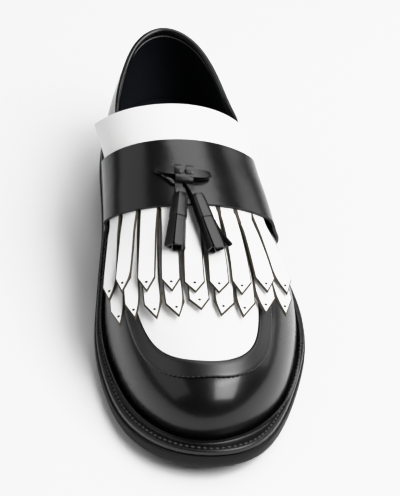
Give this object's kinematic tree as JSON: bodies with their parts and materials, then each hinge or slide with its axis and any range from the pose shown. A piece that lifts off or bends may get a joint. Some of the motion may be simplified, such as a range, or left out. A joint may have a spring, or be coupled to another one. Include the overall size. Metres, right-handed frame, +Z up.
{
  "type": "tassel loafer",
  "caption": "Slip-on dress loafer, left shoe, with a saddle over a fringed kiltie, hanging tassels, a contrast apron and a welted rubber sole with a low heel.",
  "frame": {"origin": "on the floor under the middle of the shoe's bounding box", "axes": "+Z up, -Y towards the toe, +Y towards the heel, +X towards the lateral side"},
  "size_m": [0.1168, 0.302, 0.0973],
  "materials": {
    "black_leather": "polished",
    "white_leather": "smooth",
    "lining_leather": "matte",
    "sole_rubber": "satin"
  },
  "bodies": {
    "root": {"outsole": "sole_rubber", "heel": "sole_rubber", "welt": "black_leather", "upper": "black_leather", "insole": "lining_leather", "apron": "white_leather", "apron_band": "black_leather", "kiltie_lower": "white_leather", "kiltie_upper": "white_leather", "tongue": "white_leather", "saddle": "black_leather", "tassel_tie": "black_leather", "tassel_medial": "black_leather", "tassel_lateral": "black_leather"}
  },
  "joints": []
}
